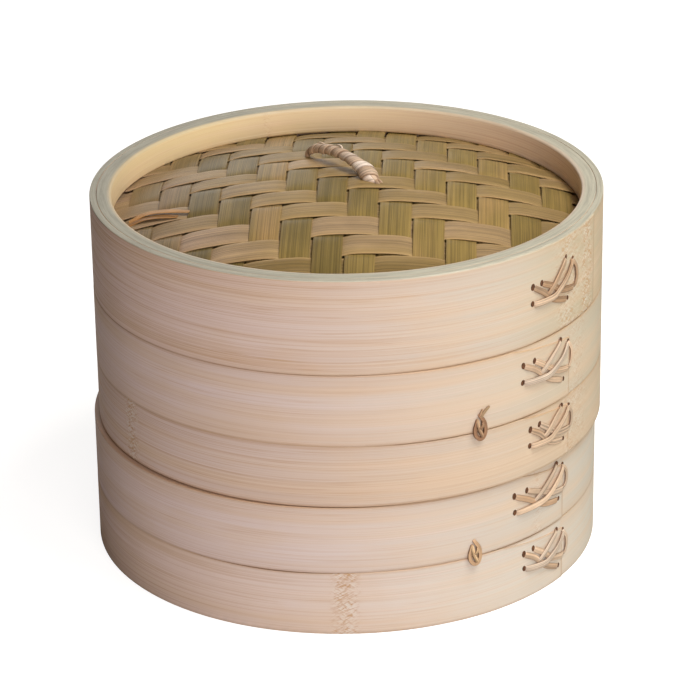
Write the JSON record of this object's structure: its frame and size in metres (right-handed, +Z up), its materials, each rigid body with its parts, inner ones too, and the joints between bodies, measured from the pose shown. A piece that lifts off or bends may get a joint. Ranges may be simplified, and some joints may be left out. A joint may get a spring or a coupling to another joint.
{
  "type": "bamboo steamer basket",
  "caption": "Round stacking bamboo steamer with slatted floors, a woven domed lid, cane stitches and a cane-wound handle.",
  "frame": {"origin": "under the middle of the basket, on the surface it stands on", "axes": "+Z up through the stack, +X to the right, the stitches and the front knots face -Y and +X"},
  "size_m": [0.205, 0.203, 0.1577],
  "materials": {
    "hoop_bamboo": "planed bamboo strip, warm pinkish tan, satin",
    "inner_bamboo": "planed bamboo strip, golden tan, satin",
    "slat_bamboo": "split bamboo, matt",
    "woven_strip": "thin olive and tan bamboo strips, twill woven, satin",
    "lacing_cane": "flat split cane, satin",
    "handle_cane": "wound split cane, satin"
  },
  "bodies": {
    "lower_tier": {"lower_tier_lower_outer_hoop": "hoop_bamboo", "lower_tier_upper_outer_hoop": "hoop_bamboo", "lower_tier_inner_wall": "inner_bamboo", "lower_tier_base_ring": "inner_bamboo", "lower_tier_crossbar_1": "slat_bamboo", "lower_tier_crossbar_2": "slat_bamboo", "lower_tier_crossbar_3": "slat_bamboo", "lower_tier_slat_01": "slat_bamboo", "lower_tier_slat_02": "slat_bamboo", "lower_tier_slat_03": "slat_bamboo", "lower_tier_slat_04": "slat_bamboo", "lower_tier_slat_05": "slat_bamboo", "lower_tier_slat_06": "slat_bamboo", "lower_tier_slat_07": "slat_bamboo", "lower_tier_slat_08": "slat_bamboo", "lower_tier_slat_09": "slat_bamboo", "lower_tier_slat_10": "slat_bamboo", "lower_tier_lower_stitch": "lacing_cane", "lower_tier_upper_stitch": "lacing_cane", "lower_tier_knot_front": "lacing_cane", "lower_tier_knot_back": "lacing_cane"},
    "upper_tier": {"upper_tier_lower_outer_hoop": "hoop_bamboo", "upper_tier_upper_outer_hoop": "hoop_bamboo", "upper_tier_inner_wall": "inner_bamboo", "upper_tier_base_ring": "inner_bamboo", "upper_tier_crossbar_1": "slat_bamboo", "upper_tier_crossbar_2": "slat_bamboo", "upper_tier_crossbar_3": "slat_bamboo", "upper_tier_slat_01": "slat_bamboo", "upper_tier_slat_02": "slat_bamboo", "upper_tier_slat_03": "slat_bamboo", "upper_tier_slat_04": "slat_bamboo", "upper_tier_slat_05": "slat_bamboo", "upper_tier_slat_06": "slat_bamboo", "upper_tier_slat_07": "slat_bamboo", "upper_tier_slat_08": "slat_bamboo", "upper_tier_slat_09": "slat_bamboo", "upper_tier_slat_10": "slat_bamboo", "upper_tier_lower_stitch": "lacing_cane", "upper_tier_upper_stitch": "lacing_cane", "upper_tier_knot_front": "lacing_cane", "upper_tier_knot_back": "lacing_cane"},
    "lid": {"lid_outer_hoop": "hoop_bamboo", "lid_inner_hoop": "inner_bamboo", "lid_retaining_ring": "inner_bamboo", "lid_woven_cover": "woven_strip", "lid_woven_liner": "woven_strip", "lid_rib_left": "slat_bamboo", "lid_rib_middle": "slat_bamboo", "lid_rib_right": "slat_bamboo", "lid_stitch": "lacing_cane", "lid_lashing_back": "lacing_cane", "lid_lashing_front": "lacing_cane"},
    "handle": {"handle_core": "handle_cane", "handle_wrap": "handle_cane"}
  },
  "joints": [
    {"name": "upper_tier_lift", "type": "slide", "parent": "lower_tier", "child": "upper_tier", "axis": [0, 0, 1], "range_m": [0, 0.12]},
    {"name": "lid_lift", "type": "slide", "parent": "upper_tier", "child": "lid", "axis": [0, 0, 1], "range_m": [0, 0.12]},
    {"name": "handle_rock", "type": "hinge", "parent": "lid", "child": "handle", "pos_m": [0.00014, 0.01285, 0.14682], "axis": [0.6065, -0.7944, 0.033], "range_deg": [-25, 25]}
  ]
}
